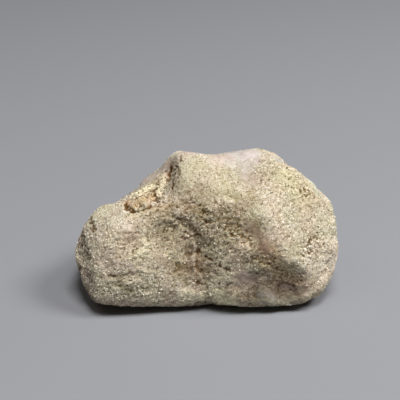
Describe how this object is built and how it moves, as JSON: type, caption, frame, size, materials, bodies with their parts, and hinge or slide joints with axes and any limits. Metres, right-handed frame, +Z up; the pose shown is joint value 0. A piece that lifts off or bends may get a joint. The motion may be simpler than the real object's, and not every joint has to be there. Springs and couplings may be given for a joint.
{
  "type": "rough opal",
  "caption": "Rough opal nodule with a pale sandy rind, bare milky opal at the top and foot, standing on a flat spot under it.",
  "frame": {"origin": "under the middle of the stone's box, on the surface it rests on", "axes": "+X along the stone's long way, -Y its best side, +Z up"},
  "size_m": [0.0464, 0.0262, 0.0246],
  "materials": {
    "rind": "sugary weathered rind of sand grains, matt, with fine pits and brown iron stain in the deepest",
    "grains": "pale quartz and feldspar sand grains, slightly glassy",
    "dark_grains": "dark brown and grey-green mineral specks, dull"
  },
  "bodies": {
    "root": {"rough_opal": "rind"}
  },
  "joints": []
}
